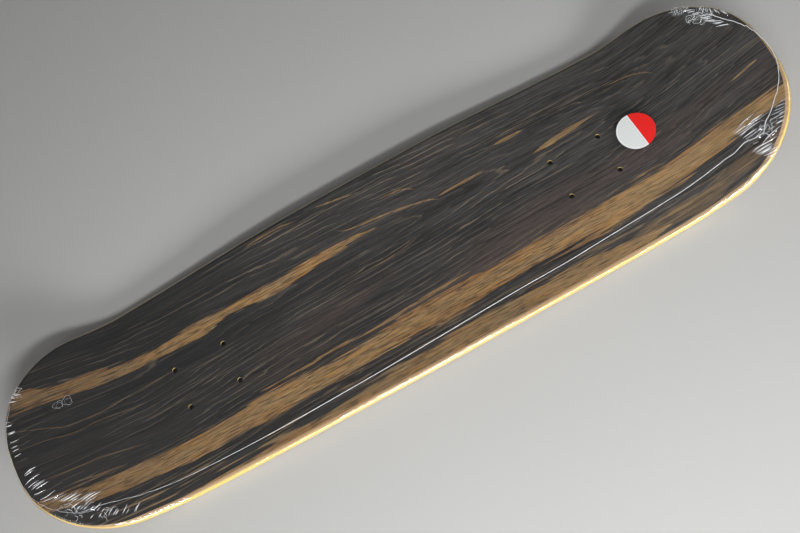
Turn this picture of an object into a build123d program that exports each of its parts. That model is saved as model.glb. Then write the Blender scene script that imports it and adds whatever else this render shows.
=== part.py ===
"""Seven-ply skateboard deck in its shrink film, with a round label on the film.

The deck is pressed from seven maple veneers: a concave between the rails that dies out into
the kicks, a bent-up nose and tail, rounded rails and eight truck holes. The veneers are cut
apart along their glue lines, so each ply seats exactly on the next. The film hugs the bottom
and the rails, runs straight from rail to rail over the concave, and lifts over both kicks.

X points to the nose, Y to the left rail and Z up out of the top face. The origin is under the
middle of the wrapped deck, on the surface that it lies on. Millimetres and degrees.
"""

import os
from math import cos, pi, radians, sin, sqrt

from build123d import *

# Truck bolt pattern, the trade's common one
wheelbase = 368.3
bolt_pitch_x = 53.975
bolt_pitch_y = 41.275
bolt_hole_diameter = 5.2

# Plan outline
deck_width = 212.7
widest_ahead = 39.0
rail_bow_radius = 8000.0
nose_reach = 166.0
nose_tip_radius = 187.0
nose_corner_radius = 91.0
tail_reach = 162.0
tail_tip_radius = 400.0
tail_corner_radius = 89.0
rail_round = 3.75

# Pressing
nose_kick_start = 26.0
nose_kick_radius = 120.0
nose_kick_angle = 27.0
tail_kick_start = 23.0
tail_kick_radius = 120.0
tail_kick_angle = 22.0
concave_depth = 9.3
concave_hold = 60.0
concave_end_past_bolts = 32.0
kick_concave_depth = 0.8
press_spacing = 22.0
trim_allowance = 8.0

# Veneers, from the top face down
ply_names = [
    "top_face_veneer",
    "upper_core_ply",
    "upper_cross_ply",
    "centre_core_ply",
    "lower_cross_ply",
    "lower_core_ply",
    "bottom_face_veneer",
]
ply_thickness = 1.5

# Shrink film
film_thickness = 0.3
film_clearance = 0.2
nose_film_lift = 8.0
tail_film_lift = 6.0
film_lift_span = 115.0
vent_diameter = 6.0

# Label on the film
label_diameter = 37.4
label_thickness = 0.2
label_clearance = 0.1
label_past_bolts = 31.5
label_off_middle = 3.3

# Worked out from the driving dimensions
deck_thickness = ply_thickness * len(ply_names)
half_width = deck_width / 2
blank_half_width = half_width + trim_allowance
outer_bolt = wheelbase / 2 + bolt_pitch_x
concave_end = outer_bolt + concave_end_past_bolts
film_outside = film_clearance + film_thickness
label_seat = film_outside + label_clearance
top_face_height = deck_thickness + film_outside
truck_middle = (tail_reach - nose_reach) / 2
work_height = 4 * deck_width

top_plane = Plane(origin=(truck_middle, 0, top_face_height))
side_plane = Plane(origin=top_plane.origin, x_dir=(1, 0, 0), z_dir=(0, -1, 0))


def kick_run(reach, start, radius, angle):
    """Level length of a kick's straight part, from its bend to past the trimmed tip."""
    return reach - start - radius * sin(radians(angle)) + trim_allowance


# The line that the top face follows along the middle of the deck, from the tail to the nose
with BuildLine(side_plane) as mould_line:
    flat = Line((-outer_bolt - tail_kick_start, 0), (outer_bolt + nose_kick_start, 0))
    nose_bend = JernArc(flat @ 1, flat % 1, nose_kick_radius, nose_kick_angle)
    nose_rise = PolarLine(
        nose_bend @ 1,
        kick_run(nose_reach, nose_kick_start, nose_kick_radius, nose_kick_angle),
        nose_kick_angle,
        length_mode=LengthMode.HORIZONTAL,
    )
    tail_bend = JernArc(flat @ 0, (-1, 0), tail_kick_radius, -tail_kick_angle)
    tail_rise = PolarLine(
        tail_bend @ 1,
        kick_run(tail_reach, tail_kick_start, tail_kick_radius, tail_kick_angle),
        180 - tail_kick_angle,
        length_mode=LengthMode.HORIZONTAL,
    )
mould_wire = mould_line.wire()
tail_travel = tail_rise.length + tail_bend.length + outer_bolt + tail_kick_start
station_count = round(mould_wire.length / press_spacing) + 1
stations = [index / (station_count - 1) for index in range(station_count)]


def travel_at(station):
    """Distance along the mould line from the middle of the trucks, negative to the tail."""
    return station * mould_wire.length - tail_travel


def press_plane(station):
    """Plane square to the mould line: its x to the left rail, its y out of the top face."""
    return Plane(origin=mould_wire @ station, x_dir=(0, 1, 0), z_dir=mould_wire % station)


def ease(share):
    """1 at a share of 0, falling smoothly to 0 at a share of 1 and staying there."""
    return (1 + cos(pi * min(max(share, 0), 1))) / 2


def concave_radius(station):
    """Radius of the concave across the deck at a station."""
    faded = (abs(travel_at(station)) - concave_hold) / (concave_end - concave_hold)
    depth = kick_concave_depth + (concave_depth - kick_concave_depth) * ease(faded)
    return (half_width**2 + depth**2) / (2 * depth)


def rail_crest(station):
    """Height of the rounded rails over the middle of the top face."""
    to_centre = concave_radius(station) + rail_round
    return to_centre - sqrt(to_centre**2 - (half_width - rail_round) ** 2)


def film_lift(station):
    """How far the taut film bows up between the rails, where it bridges a kick's bend."""
    travel = travel_at(station)
    nose_middle = outer_bolt + nose_kick_start + nose_bend.length / 2
    tail_middle = outer_bolt + tail_kick_start + tail_bend.length / 2
    over_nose = nose_film_lift * ease(abs(travel - nose_middle) / film_lift_span)
    over_tail = tail_film_lift * ease(abs(travel + tail_middle) / film_lift_span)
    return over_nose + over_tail


def pressed_edge(station, depth):
    """Arc across the blank, the given depth under the top face."""
    radius = concave_radius(station) + depth
    ends = radius - sqrt(radius**2 - blank_half_width**2) - depth
    return ThreePointArc((-blank_half_width, ends), (0, -depth), (blank_half_width, ends))


def film_edge(station, height):
    """Curve across the film, the given height over the crests of the rails."""
    ends = rail_crest(station) + height
    pull = ends + 2 * film_lift(station)
    return Bezier((-blank_half_width, ends), (0, pull), (blank_half_width, ends))


# Plan outline: two bowed rails between the tip arcs, with rounded corners
def tip_corner(tip, tip_radius):
    """Where the left rail's bow meets a tip arc, tip being its furthest point along X."""
    toward = 1 if tip > 0 else -1
    across = half_width
    for _ in range(20):
        along = tip - toward * (tip_radius - sqrt(tip_radius**2 - across**2))
        across = half_width - rail_bow_radius
        across += sqrt(rail_bow_radius**2 - (along - widest_ahead) ** 2)
    return along, across


nose_tip = outer_bolt + nose_reach
tail_tip = -outer_bolt - tail_reach
nose_left = tip_corner(nose_tip, nose_tip_radius)
tail_left = tip_corner(tail_tip, tail_tip_radius)
with BuildSketch() as outline:
    with BuildLine():
        left_rail = ThreePointArc(tail_left, (widest_ahead, half_width), nose_left)
        right_rail = mirror(left_rail, about=Plane.XZ)
        ThreePointArc(left_rail @ 1, (nose_tip, 0), right_rail @ 1)
        ThreePointArc(left_rail @ 0, (tail_tip, 0), right_rail @ 0)
    make_face()
    fillet(outline.vertices().group_by(Axis.X)[-1], nose_corner_radius)
    fillet(outline.vertices().group_by(Axis.X)[0], tail_corner_radius)


def pressed_form(top_edge, top_height, bottom_depth, grow):
    """A form with the deck's pressing, outline and rounded rails.

    top_edge draws the section's upper edge at a station and a height, bottom_depth is the depth
    of the lower face under the top face, and grow is how far the rail stands out from the deck's.
    """
    with BuildPart() as form:
        for station in stations:
            with BuildSketch(press_plane(station)):
                with BuildLine():
                    upper = top_edge(station, top_height)
                    lower = pressed_edge(station, bottom_depth)
                    Line(upper @ 0, lower @ 0)
                    Line(upper @ 1, lower @ 1)
                make_face()
        loft()
        with BuildSketch(top_plane.offset(-work_height / 2)):
            add(outline.sketch)
            if grow > 0:
                offset(amount=grow)
        extrude(amount=work_height, mode=Mode.INTERSECT)
        skins = form.faces().sort_by(SortBy.AREA)[-2:]
        fillet(skins[0].edges() + skins[1].edges(), rail_round + grow)
    return form.part


def cutting_sheet(edge, place):
    """A face along the whole blank, through one kind of edge at the given depth or height."""
    ribs = []
    for station in stations:
        with BuildLine(press_plane(station)) as rib:
            edge(station, place)
        ribs.append(rib.wire())
    return Shell.make_loft(ribs).face()


os.makedirs("parts", exist_ok=True)

# The deck in one piece, pressed, cut out, rounded and drilled
with BuildPart() as deck:
    add(pressed_form(pressed_edge, 0, deck_thickness, 0))
    with BuildSketch(top_plane):
        for toward in (-1, 1):
            with Locations((toward * (wheelbase + bolt_pitch_x) / 2, 0)):
                with GridLocations(bolt_pitch_x, bolt_pitch_y, 2, 2):
                    Circle(bolt_hole_diameter / 2)
    extrude(amount=work_height / 2, both=True, mode=Mode.SUBTRACT)

# The plies, cut from it one after another along the glue lines
uncut = deck.part
for index, name in enumerate(ply_names):
    with BuildPart() as ply:
        add(uncut)
        if name != ply_names[-1]:
            glue_line = cutting_sheet(pressed_edge, ply_thickness * (index + 1))
            split(bisect_by=glue_line, keep=Keep.ALL)
    layers = ply.solids().sort_by(Axis.Z)
    uncut = layers[0]
    veneer = layers[-1]
    veneer.label = name
    export_step(veneer, f"parts/{name}.step")

# The film, with the vent that lets the air out as it shrinks, under the middle of the deck
with BuildPart() as film:
    add(pressed_form(film_edge, film_outside, deck_thickness + film_outside, film_outside))
    add(
        pressed_form(film_edge, film_clearance, deck_thickness + film_clearance, film_clearance),
        mode=Mode.SUBTRACT,
    )
    with BuildSketch(top_plane.offset(-deck_thickness / 2)):
        Circle(vent_diameter / 2)
    extrude(amount=-deck_thickness, mode=Mode.SUBTRACT)
film.part.label = "shrink_film"
export_step(film.part, "parts/shrink_film.step")

# The label, a disc cut out of the layer just over the film
with BuildPart() as label_stock:
    with BuildSketch(top_plane):
        with Locations((outer_bolt + label_past_bolts, label_off_middle)):
            Circle(label_diameter / 2)
    extrude(amount=work_height / 2, both=True)
    for height in (label_seat, label_seat + label_thickness):
        split(bisect_by=cutting_sheet(film_edge, height), keep=Keep.ALL)
label = label_stock.solids().sort_by(Axis.Z)[1]
label.label = "round_label"
export_step(label, "parts/round_label.step")
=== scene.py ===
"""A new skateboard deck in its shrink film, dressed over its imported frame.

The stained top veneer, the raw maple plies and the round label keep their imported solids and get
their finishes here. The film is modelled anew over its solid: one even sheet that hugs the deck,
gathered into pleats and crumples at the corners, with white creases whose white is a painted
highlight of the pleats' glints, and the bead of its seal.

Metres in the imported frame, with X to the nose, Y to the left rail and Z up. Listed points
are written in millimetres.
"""

import functools
import logging
import math
import random
from collections.abc import Callable
from dataclasses import dataclass
from enum import Enum

import bmesh
import bpy
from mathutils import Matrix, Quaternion, Vector, noise
from mathutils.bvhtree import BVHTree


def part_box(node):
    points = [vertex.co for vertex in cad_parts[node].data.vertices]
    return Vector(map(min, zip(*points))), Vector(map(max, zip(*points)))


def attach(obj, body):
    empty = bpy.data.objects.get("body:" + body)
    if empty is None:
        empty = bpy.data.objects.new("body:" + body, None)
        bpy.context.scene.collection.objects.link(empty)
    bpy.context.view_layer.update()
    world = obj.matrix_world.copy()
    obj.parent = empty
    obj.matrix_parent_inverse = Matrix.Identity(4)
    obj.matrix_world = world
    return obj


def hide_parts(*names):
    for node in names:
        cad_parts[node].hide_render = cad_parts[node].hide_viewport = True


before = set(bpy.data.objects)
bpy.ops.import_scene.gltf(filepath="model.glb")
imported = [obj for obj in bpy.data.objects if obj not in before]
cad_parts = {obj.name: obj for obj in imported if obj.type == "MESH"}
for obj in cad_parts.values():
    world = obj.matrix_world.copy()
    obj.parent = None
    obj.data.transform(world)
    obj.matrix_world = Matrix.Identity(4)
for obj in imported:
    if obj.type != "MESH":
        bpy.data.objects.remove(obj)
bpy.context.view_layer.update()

log = logging.getLogger("deck")
MM = 0.001
HOLES_WITHIN = (300.0 * MM, 40.0 * MM)
Socket = bpy.types.NodeSocket
NodeTree = bpy.types.NodeTree
Piece = bpy.types.Object
Finish = bpy.types.Material
Mesh = bpy.types.Mesh
Sheet = bmesh.types.BMesh
Face = bmesh.types.BMFace
Value = Socket | float
Pair = tuple[float, float]
Point = tuple[float, float, float]
Colour = tuple[float, float, float]
Ramp = tuple[float, float, float, float]
Outputs = dict[str, Socket]
Run = list[tuple[Vector, float]]


class GrainWay(Enum):
    """Which way a veneer's fibres run, as degrees of turn from the deck's length."""

    ALONG = 0.0
    ACROSS = 90.0


class LineKind(Enum):
    """How a curve runs past its points, by Blender's name for it."""

    STRAIGHT = "POLY"
    SMOOTH = "NURBS"


@dataclass(frozen=True)
class Graph:
    """A node tree with short ways to add to it."""

    tree: NodeTree

    def add(self, kind: str, *sources: Value | tuple, **settings: object) -> bpy.types.Node:
        """Add a node.

        Args:
            kind: The node's type name.
            sources: Sockets or values for its first inputs, in order.
            settings: Properties of the node to set.

        Returns:
            The new node.
        """
        node = self.tree.nodes.new(kind)
        for name, value in settings.items():
            setattr(node, name, value)
        for target, source in zip(node.inputs, sources):
            self.plug(target, source)
        return node

    def plug(self, target: Socket, source: Value | tuple) -> None:
        """Link a socket to an input, or set the input's own value.

        Args:
            target: The input socket.
            source: An output socket, or a plain value.
        """
        if isinstance(source, Socket):
            self.tree.links.new(source, target)
        else:
            target.default_value = source

    def maths(self, operation: str, *values: Value) -> Socket:
        """Add a Math node with an operation and its inputs in order, and give its result."""
        return self.add("ShaderNodeMath", *values, operation=operation).outputs[0]

    def minus(self, first: Value, second: Value) -> Socket:
        """Take the second value from the first."""
        return self.maths("SUBTRACT", first, second)

    def times(self, *factors: Value) -> Socket:
        """Multiply two or more values."""
        return functools.reduce(functools.partial(self.maths, "MULTIPLY"), factors)

    def split(self, vector: Socket) -> tuple[Socket, Socket, Socket]:
        """The X, Y and Z of a vector."""
        return tuple(self.add("ShaderNodeSeparateXYZ", vector).outputs)

    def flat(self, x: Value, y: Value) -> Socket:
        """A vector of an X and a Y, at no height."""
        return self.add("ShaderNodeCombineXYZ", x, y).outputs[0]

    def remap(
        self, value: Socket, low: float, high: float, to_low: float = 0.0, to_high: float = 1.0
    ) -> Socket:
        """Add a smooth, clamped Map Range node.

        Args:
            value: What is mapped.
            low: The value that becomes to_low.
            high: The value that becomes to_high.
            to_low: The result at low.
            to_high: The result at high.

        Returns:
            The result's socket.
        """
        node = self.add("ShaderNodeMapRange", interpolation_type="SMOOTHSTEP")
        for target, source in zip(node.inputs, (value, low, high, to_low, to_high)):
            self.plug(target, source)
        return node.outputs[0]

    def grain(self, place: Socket, along: float, across: float, detail: float, seed: float) -> Socket:
        """Add noise that may be drawn out along X.

        Args:
            place: The coordinates.
            along: Noise cells per metre along X.
            across: Noise cells per metre along Y and Z.
            detail: Octaves of the noise.
            seed: A shift that makes each noise its own.

        Returns:
            The noise, about 0 to 1.
        """
        spread = self.add("ShaderNodeMapping", place)
        self.plug(spread.inputs["Location"], (seed, seed, seed))
        self.plug(spread.inputs["Scale"], (along, across, across))
        cloud = self.add("ShaderNodeTexNoise", spread.outputs[0])
        self.plug(cloud.inputs["Scale"], 1.0)
        self.plug(cloud.inputs["Detail"], detail)
        return cloud.outputs[0]

    def blend(self, share: Value, first: Socket | Colour, second: Socket | Colour) -> Socket:
        """Add a Mix node for colours.

        Args:
            share: How much of the second colour shows.
            first: The colour at a share of 0.
            second: The colour at a share of 1.

        Returns:
            The mixed colour's socket.
        """
        node = self.add("ShaderNodeMix", share, data_type="RGBA")
        for target, colour in ((node.inputs[6], first), (node.inputs[7], second)):
            self.plug(target, colour if isinstance(colour, Socket) else (*colour, 1.0))
        return node.outputs[2]

    def coats(self, base: Socket, *coats: tuple[Value, Socket | Colour]) -> Socket:
        """Lay coats of colour over a base.

        Args:
            base: The colour under them all.
            coats: From the lowest up, each how much of it shows, and its colour.

        Returns:
            The colour on top.
        """
        for share, colour in coats:
            base = self.blend(share, base, colour)
        return base

    def curve(self, value: Socket, points: list[Pair]) -> Socket:
        """Add a Float Curve node.

        Args:
            value: What is looked up on the curve, 0 to 1.
            points: The curve's points, in order, each 0 to 1 both ways.

        Returns:
            The curve's value.
        """
        node = self.add("ShaderNodeFloatCurve")
        line = node.mapping.curves[0]
        line.points[0].location = points[0]
        line.points[1].location = points[-1]
        for place in points[1:-1]:
            line.points.new(*place)
        for point in line.points:
            point.handle_type = "AUTO_CLAMPED"
        node.mapping.update()
        self.plug(node.inputs["Value"], value)
        return node.outputs[0]

    def bump(self, height: Socket, strength: float, distance: float) -> Socket:
        """Add a Bump node.

        Args:
            height: The height's socket, 0 to 1.
            strength: How much of the bump shows.
            distance: The height in metres at 1.

        Returns:
            The bumped normal.
        """
        node = self.add("ShaderNodeBump")
        self.plug(node.inputs["Strength"], strength)
        self.plug(node.inputs["Distance"], distance)
        self.plug(node.inputs["Height"], height)
        return node.outputs[0]

    def place_group(self, group: NodeTree, **inputs: Value) -> Outputs:
        """Put a node group into the tree.

        Args:
            group: The group.
            inputs: Sockets or values for its inputs, named with _ for a space.

        Returns:
            Its outputs by name.
        """
        node = self.add("ShaderNodeGroup", node_tree=group)
        for name, source in inputs.items():
            self.plug(node.inputs[name.replace("_", " ")], source)
        return {socket.name: socket for socket in node.outputs}


@dataclass(frozen=True)
class Material:
    """A new material with its graph and its Principled node."""

    data: Finish
    graph: Graph
    shader: bpy.types.Node

    @classmethod
    def named(cls, name: str) -> "Material":
        """Make a material.

        Args:
            name: Its name.

        Returns:
            The material, with a Principled node ready.
        """
        data = bpy.data.materials.new(name)
        data.use_nodes = True
        return cls(data, Graph(data.node_tree), data.node_tree.nodes["Principled BSDF"])

    def place(self) -> Socket:
        """Object coordinates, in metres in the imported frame."""
        return self.graph.add("ShaderNodeTexCoord").outputs["Object"]

    def feed(self, name: str, source: Value | tuple) -> None:
        """Link or set the Principled node's input of a name."""
        self.graph.plug(self.shader.inputs[name], source)


@dataclass(frozen=True)
class Plan:
    """Places with the height left out, so that a bent face keeps an unbroken grain."""

    graph: Graph
    place: Socket
    x: Socket
    y: Socket

    @classmethod
    def of(cls, made: Material) -> "Plan":
        """Look down on a material's places.

        Args:
            made: The material.

        Returns:
            Its plan.
        """
        x, y, _ = made.graph.split(made.place())
        return cls(made.graph, made.graph.flat(x, y), x, y)

    def drilled(self) -> Socket:
        """Where a ply shows only in the truck holes: away from the rails and the tips.

        Returns:
            1 in the holes, 0 at the rails and tips.
        """
        graph = self.graph
        along = graph.maths("LESS_THAN", graph.maths("ABSOLUTE", self.x), HOLES_WITHIN[0])
        across = graph.maths("LESS_THAN", graph.maths("ABSOLUTE", self.y), HOLES_WITHIN[1])
        return graph.times(across, along)


@dataclass(frozen=True)
class Mottle:
    """Noise along the grain, cut to a soft mask.

    along and across are its cells per metre, detail its octaves, and seed the shift that makes it
    its own. The mask goes from least, where the noise is low, to most, where it is high.
    """

    along: float
    across: float
    detail: float
    seed: float
    low: float
    high: float
    least: float = 0.0
    most: float = 1.0

    def mask(self, plan: Plan) -> Socket:
        """The mask over a plan."""
        cloud = plan.graph.grain(plan.place, self.along, self.across, self.detail, self.seed)
        return plan.graph.remap(cloud, self.low, self.high, self.least, self.most)


def shaded(colour: Colour, level: float) -> Colour:
    """A colour at a share of its brightness."""
    return tuple(level * channel for channel in colour)


def new_group(name: str, inputs: dict[str, str], outputs: list[str]) -> tuple[Graph, Outputs, Outputs]:
    """Make a shader node group.

    Args:
        name: The group's name.
        inputs: Its inputs, each name with the short kind of its socket.
        outputs: The names of its outputs, which are all values.

    Returns:
        The group's graph, its inputs to read and its outputs to feed.
    """
    tree = bpy.data.node_groups.new(name, "ShaderNodeTree")
    for label, kind in inputs.items():
        tree.interface.new_socket(name=label, in_out="INPUT", socket_type=f"NodeSocket{kind}")
    for label in outputs:
        tree.interface.new_socket(name=label, in_out="OUTPUT", socket_type="NodeSocketFloat")
    graph = Graph(tree)
    entry = graph.add("NodeGroupInput")
    leave = graph.add("NodeGroupOutput")
    return graph, {n: entry.outputs[n] for n in inputs}, {n: leave.inputs[n] for n in outputs}


def wood_fibre_group() -> NodeTree:
    """The fibres of a veneer whose grain runs along X.

    Returns:
        A group from Place to Fibre, Bands and Pores, each 0 to 1.
    """
    pore_range = (0.60, 0.72)
    graph, entry, leave = new_group("wood_fibre", {"Place": "Vector"}, ["Fibre", "Bands", "Pores"])
    place = entry["Place"]
    graph.plug(leave["Fibre"], graph.grain(place, 16.0, 800.0, 5.0, 3.1))
    graph.plug(leave["Bands"], graph.grain(place, 4.0, 75.0, 3.0, 7.7))
    pores = graph.grain(place, 60.0, 1300.0, 1.0, 12.4)
    graph.plug(leave["Pores"], graph.remap(pores, *pore_range))
    return graph.tree


def ring_lines_group() -> NodeTree:
    """The flame figure of a flat-sawn veneer: growth rings cut at a slant, with tips to the nose.

    Returns:
        A group from Place and Wobble to Lines, thin late-wood lines, and Tone, the ramp between them.
    """
    heart = 40.0 * MM
    tip_width = 14.0 * MM
    ring_spacing = 5.2 * MM
    rings_per_metre = 10.0
    broad_sway = 4.0
    fine_sway = 1.1
    late_wood = (0.78, 0.86)
    season_end = (0.95, 1.0, 1.0, 0.0)
    graph, entry, leave = new_group(
        "ring_lines", {"Place": "Vector", "Wobble": "Float"}, ["Lines", "Tone"]
    )
    place = entry["Place"]
    x, y, _ = graph.split(place)
    spread = graph.maths("DIVIDE", graph.minus(y, heart), tip_width)
    bowl = graph.maths("SQRT", graph.maths("MULTIPLY_ADD", spread, spread, 1.0))
    ring = graph.maths("MULTIPLY_ADD", bowl, tip_width / ring_spacing, graph.times(x, rings_per_metre))
    broad = graph.times(graph.grain(place, 4.5, 17.0, 2.0, 1.3), broad_sway)
    fine = graph.times(graph.grain(place, 26.0, 180.0, 3.0, 5.9), fine_sway)
    wander = graph.times(graph.maths("ADD", broad, fine), entry["Wobble"])
    tone = graph.maths("FRACT", graph.maths("ADD", ring, wander))
    graph.plug(leave["Tone"], tone)
    lines = graph.times(graph.remap(tone, *late_wood), graph.remap(tone, *season_end))
    graph.plug(leave["Lines"], lines)
    return graph.tree


def ragged_streak_group() -> NodeTree:
    """One streak along the grain, with splintered edges.

    Returns:
        A group from Across (metres from the streak's middle), Half Width and Ragged to Mask and Rim.
    """
    thinnest = 0.1 * MM
    full_at = (0.0, 0.6 * MM)
    broad_at = (1.2 * MM, 4.0 * MM)
    edge = (1.10, 0.90)
    rim_zone = (0.35, 0.95)
    graph, entry, leave = new_group(
        "ragged_streak", {"Across": "Float", "Half Width": "Float", "Ragged": "Float"}, ["Mask", "Rim"]
    )
    half = graph.maths("MAXIMUM", entry["Half Width"], thinnest)
    share = graph.maths("DIVIDE", graph.maths("ABSOLUTE", entry["Across"]), half)
    reach = graph.maths("ADD", share, entry["Ragged"])
    thick = graph.remap(entry["Half Width"], *full_at)
    graph.plug(leave["Mask"], graph.times(graph.remap(reach, *edge), thick))
    broad = graph.remap(entry["Half Width"], *broad_at)
    graph.plug(leave["Rim"], graph.times(graph.remap(reach, *rim_zone), broad))
    return graph.tree


@dataclass(frozen=True)
class Streak:
    """A pale streak that took little stain: points (x, y, half width) in millimetres, tail to nose."""

    points: tuple[Point, ...]
    strength: float = 1.0


STREAKS = (
    Streak((
        (-394, -50, 6.5), (-366, -52.5, 8), (-340, -55.5, 10), (-295, -57, 9), (-250, -60, 9.5),
        (-203, -57.5, 9), (-170, -57, 11.5), (-81, -60, 10), (30, -56, 12), (121, -54, 11),
        (218, -53.5, 12.5), (312, -48, 10), (360, -44.5, 7.5), (394, -47, 7),
    )),
    Streak((
        (-392, 56, 10), (-375, 55, 9), (-344, 50.5, 6), (-320, 50, 7), (-290, 48, 5.5),
        (-260, 45.5, 5), (-205, 45.5, 7), (-162, 48.5, 4), (-120, 46.5, 5.5), (-88, 48, 5.5),
        (-50, 49.3, 4.2), (-25, 50.5, 2.2), (6, 48.5, 0),
    )),
    Streak((
        (-394, 30, 0.45), (-368.5, 21.8, 0.5), (-341, 14.4, 0.55), (-320, 15, 0.6), (-287, 19.8, 0.6),
        (-245, 20.5, 0.5), (-228, 19, 0),
    ), 0.5),
    Streak((
        (-394, 10.3, 0.4), (-369, 9.4, 0.5), (-343, 6, 0.5), (-323, 8, 0.5), (-286, 6, 0.35),
        (-262, 4, 0),
    ), 0.42),
    Streak((
        (-379, -25.9, 0.4), (-357, -26.6, 0.7), (-339, -26.6, 0.75), (-318, -28.3, 0.6),
        (-302, -30.4, 0.5), (-286, -32, 0),
    ), 0.5),
    Streak(((-365, -38.7, 0), (-339, -41.3, 0.9), (-310, -43, 0)), 0.6),
    Streak(((142, 65.5, 0), (160, 65.5, 1.6), (178, 65, 0)), 0.8),
    Streak(((170, 37.5, 0), (219, 42, 3.0), (240, 43, 1.4), (258, 43.5, 0)), 0.9),
    Streak(((358, -9, 0), (374, -7.5, 1.1), (388, -6.5, 0)), 0.9),
    Streak(((-41, 72, 0), (-28, 62, 0.5), (7, 57.5, 1.0), (36, 53, 1.0), (62, 47, 0.6), (72, 40, 0)), 0.7),
    Streak(((-130, 96.5, 0), (-99, 98.3, 1.2), (-60, 94.3, 0)), 0.6),
    Streak(((-53, 99.2, 0), (-22, 94.3, 0.8), (10, 88.5, 0)), 0.6),
    Streak(((9, 74, 0), (40, 71, 0.9), (56, 62.5, 0)), 0.6),
    Streak(((66, 46, 0), (95, 47, 1.3), (126, 47, 0)), 0.7),
    Streak(((-36, 14, 0), (2, 15, 0.6), (52, 23.5, 0)), 0.5),
    Streak(((264, 64.5, 0), (287, 61.5, 0.7), (308, 52.5, 0.6), (318, 37, 0)), 0.5),
    Streak((
        (-285, -94, 0), (-250, -96, 1.6), (-180, -98, 4), (-100, -99, 6), (-20, -96.5, 9),
        (40, -95, 11), (90, -94.5, 11.5), (130, -94.5, 11), (170, -94, 9), (215, -94, 5),
        (250, -93, 0),
    ), 0.85),
    Streak((
        (-175, -41, 0), (-121, -41.5, 1.2), (-98, -39.5, 1.5), (-50, -41.5, 1.2), (25, -38, 1.4),
        (66, -37.5, 0),
    ), 0.75),
    Streak(((190, -90, 0), (240, -88, 6), (290, -86, 8), (330, -82, 7), (352, -78, 4), (368, -74, 0)), 0.26),
)


@dataclass(frozen=True)
class Arc:
    """One arc of the left half of the deck's outline: its centre in plan and its radius. Millimetres.

    toward is 1 for the nose tip, -1 for the tail tip and 0 for the others.
    """

    middle: Pair
    radius: float
    toward: int = 0

    def inside(self, graph: Graph, along: Socket, out: Socket) -> Socket:
        """How far inside the arc a place is. A tip's arc counts only on its own side of its centre.

        Args:
            graph: The material's graph.
            along: The place along X.
            out: Its distance from the middle line.

        Returns:
            The distance in metres.
        """
        x, y = (part * MM for part in self.middle)
        clamp = {1: "MAXIMUM", -1: "MINIMUM"}.get(self.toward)
        spot = graph.flat(graph.maths(clamp, along, x) if clamp else along, out)
        away = graph.add("ShaderNodeVectorMath", spot, (x, y, 0.0), operation="DISTANCE")
        return graph.minus(self.radius * MM, away.outputs["Value"])


RAIL = Arc((37.0, -7893.65), 8000.0)
NOSE_TIP = Arc((215.1, 0.0), 187.0, 1)
TAIL_TIP = Arc((-2.1, 0.0), 400.0, -1)
NOSE_CORNER = Arc((310.0, 10.7), 91.0)
TAIL_CORNER = Arc((-313.0, 9.7), 89.0)


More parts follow.
